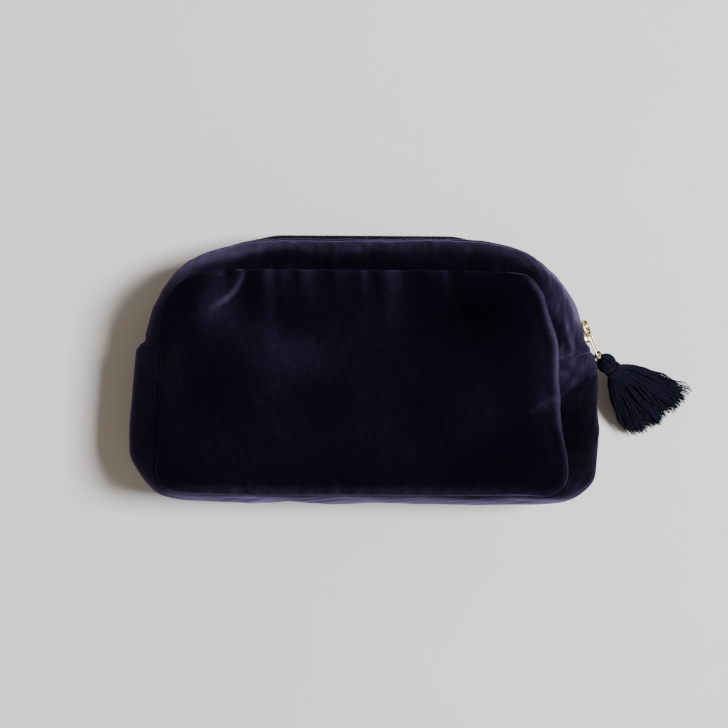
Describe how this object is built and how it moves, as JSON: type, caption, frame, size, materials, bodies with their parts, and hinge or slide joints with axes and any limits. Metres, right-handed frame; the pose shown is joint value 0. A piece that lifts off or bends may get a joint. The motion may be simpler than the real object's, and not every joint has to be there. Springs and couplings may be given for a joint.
{
  "type": "zippered velvet pouch",
  "caption": "Padded fabric pouch with a bulging gusset, a coil zip over the top and a tassel on its wire puller.",
  "frame": {"origin": "centre of the rear panel's outer face, on the surface that the pouch lies on", "axes": "+X along the width towards the closed end of the zip, +Y from the base towards the top of the zip, +Z from the rear panel to the front panel"},
  "size_m": [0.2651, 0.1251, 0.0546],
  "materials": {
    "velvet": "cotton velvet with a short dense pile",
    "wadding": "soft matt wadding",
    "lining": "plain-woven cotton",
    "zip_tape": "close-woven tape",
    "zip_coil": "nylon coil, satin",
    "gold_metal": "polished light gold plating",
    "yarn": "soft cotton yarn"
  },
  "bodies": {
    "pouch": {"rear_panel": "velvet", "front_panel": "velvet", "rear_wadding": "wadding", "front_wadding": "wadding", "rear_lining": "lining", "front_lining": "lining", "base_gusset": "velvet", "base_wadding": "wadding", "base_lining": "lining", "zip_facing_front": "velvet", "zip_facing_lining_front": "lining", "zip_tape_front": "zip_tape", "zip_coil_front": "zip_coil", "zip_facing_rear": "velvet", "zip_facing_lining_rear": "lining", "zip_tape_rear": "zip_tape", "zip_coil_rear": "zip_coil", "zip_top_stop_front": "gold_metal", "zip_top_stop_rear": "gold_metal", "zip_bottom_stop": "gold_metal"},
    "corner_lip": {"zip_facing_front_corner": "velvet", "zip_facing_lining_front_corner": "lining", "zip_tape_front_corner": "zip_tape", "zip_coil_front_corner": "zip_coil"},
    "slider": {"slider_body": "gold_metal", "slider_bridge": "gold_metal"},
    "puller": {"zip_puller": "gold_metal"},
    "tassel_loop": {"tassel_loop": "yarn"},
    "tassel": {"tassel_head": "yarn", "tassel_binding": "yarn", "tassel_skirt": "yarn"}
  },
  "joints": [
    {"name": "slider_travel", "type": "hinge", "parent": "pouch", "child": "slider", "pos_m": [0.037, -0.008, 0.0273], "axis": [0, 0, 1], "range_deg": [0, 60]},
    {"name": "lip_opening", "type": "hinge", "parent": "pouch", "child": "corner_lip", "pos_m": [0.06634, 0.02553, 0.0527], "axis": [0.7688, -0.6395, 0], "range_deg": [0, 30], "deforming": ["zip_facing_front_corner", "zip_facing_lining_front_corner", "zip_tape_front_corner", "zip_coil_front_corner"]},
    {"name": "puller_swing", "type": "hinge", "parent": "slider", "child": "puller", "pos_m": [0.10571, 0.01782, 0.0273], "axis": [0, 0, 1], "range_deg": [-5, 110]},
    {"name": "loop_swing", "type": "hinge", "parent": "puller", "child": "tassel_loop", "pos_m": [0.11014, 0.00754, 0.02522], "axis": [0, 0, 1], "range_deg": [-15, 24]},
    {"name": "tassel_lift", "type": "hinge", "parent": "tassel_loop", "child": "tassel", "pos_m": [0.11149, 0.00642, 0.02219], "axis": [-0.6388, -0.7694, 0], "range_deg": [0, 60], "deforming": ["tassel_skirt"]}
  ],
  "couplings": [
    {"joint": "lip_opening", "follows": "slider_travel", "ratio": 0.5}
  ]
}
